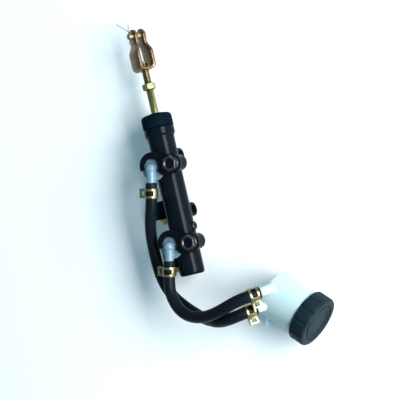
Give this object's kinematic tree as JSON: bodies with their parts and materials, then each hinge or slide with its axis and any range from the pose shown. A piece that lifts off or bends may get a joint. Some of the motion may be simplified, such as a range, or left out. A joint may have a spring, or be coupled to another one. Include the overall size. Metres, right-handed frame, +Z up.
{
  "type": "brake master cylinder",
  "caption": "Tandem hydraulic brake master cylinder with clevis push rod, elbow inlets held by bolted plates, rubber feed hoses and a remote screw-cap fluid reservoir.",
  "frame": {"origin": "on the surface that the part lies on, under the middle of its box, the two feed hoses and their clamps left out", "axes": "+Y along the cylinder towards the push rod and clevis, +Z up, +X towards the reservoir's side"},
  "size_m": [0.1802, 0.3482, 0.0705],
  "materials": {
    "black_paint": "gloss black enamel over a casting, soft bluish sheen",
    "black_zinc": "black zinc plated fastener, satin",
    "black_rubber": "matt black moulded rubber, faint bloom",
    "black_plastic": "moulded black plastic, fine texture",
    "white_plastic": "translucent white nylon",
    "clear_plastic": "milky translucent polypropylene",
    "yellow_plastic": "soft yellow transit plug",
    "yellow_zinc": "yellow passivated zinc over steel, iridescent",
    "bronze_zinc": "reddish passivated zinc over pressed steel",
    "steel": "bright spring steel",
    "aluminium": "turned aluminium"
  },
  "bodies": {
    "housing": {"cylinder_body": "black_paint", "stop_washer": "steel", "circlip": "steel", "stop_screw": "black_zinc", "dust_boot": "black_rubber", "secondary_spring": "steel", "inlet_grommet_1": "black_rubber", "inlet_grommet_2": "black_rubber", "inlet_elbow_1": "white_plastic", "inlet_elbow_2": "white_plastic", "retaining_plate_1": "black_paint", "retaining_plate_2": "black_paint", "plate_bolt_1": "black_zinc", "plate_bolt_2": "black_zinc", "outlet_plug_1": "yellow_plastic", "outlet_plug_2": "yellow_plastic", "hose_1": "black_rubber", "hose_2": "black_rubber", "hose_clamp_1": "yellow_zinc", "hose_clamp_2": "yellow_zinc", "hose_clamp_3": "yellow_zinc", "hose_clamp_4": "yellow_zinc", "reservoir_body": "clear_plastic", "diaphragm": "black_rubber", "slip_ring": "white_plastic"},
    "primary_piston": {"primary_piston": "aluminium", "rear_cup": "black_rubber", "primary_cup": "black_rubber", "primary_spring_seat": "steel", "primary_spring": "steel"},
    "secondary_piston": {"secondary_piston": "aluminium", "pressure_cup": "black_rubber", "secondary_cup": "black_rubber", "secondary_spring_seat": "steel"},
    "push_rod": {"push_rod": "yellow_zinc"},
    "lock_nut": {"lock_nut": "yellow_zinc"},
    "clevis": {"clevis": "bronze_zinc"},
    "clevis_pin": {"clevis_pin": "yellow_zinc", "cotter_pin": "steel"},
    "reservoir_cap": {"reservoir_cap": "black_plastic"}
  },
  "joints": [
    {"name": "primary_stroke", "type": "slide", "parent": "housing", "child": "primary_piston", "axis": [0, -1, 0], "range_m": [0, 0.016], "stiffness_N_per_m": 800, "springref_m": -0.008, "deforming": ["primary_spring"]},
    {"name": "secondary_stroke", "type": "slide", "parent": "housing", "child": "secondary_piston", "axis": [0, -1, 0], "range_m": [0, 0.008], "deforming": ["secondary_spring"]},
    {"name": "rod_tilt", "type": "hinge", "parent": "primary_piston", "child": "push_rod", "pos_m": [-0.05491, 0.05557, 0.023], "axis": [1, 0, 0], "range_deg": [-1.5, 1.5], "stiffness_Nm_per_rad": 30},
    {"name": "nut_spin", "type": "hinge", "parent": "push_rod", "child": "lock_nut", "pos_m": [-0.05491, 0.10697, 0.023], "axis": [0, 1, 0], "continuous": true},
    {"name": "clevis_spin", "type": "hinge", "parent": "push_rod", "child": "clevis", "pos_m": [-0.05491, 0.12357, 0.023], "axis": [0, 1, 0], "continuous": true},
    {"name": "pin_turn", "type": "hinge", "parent": "clevis", "child": "clevis_pin", "pos_m": [-0.05491, 0.15987, 0.023], "axis": [0.518, 0, -0.8554], "range_deg": [-75, 75]},
    {"name": "cap_turn", "type": "hinge", "parent": "housing", "child": "reservoir_cap", "pos_m": [0.02662, -0.1187, 0.02318], "axis": [0.7375, -0.6727, 0.0598], "continuous": true}
  ],
  "couplings": [
    {"joint": "secondary_stroke", "follows": "primary_stroke", "ratio": 0.5}
  ]
}
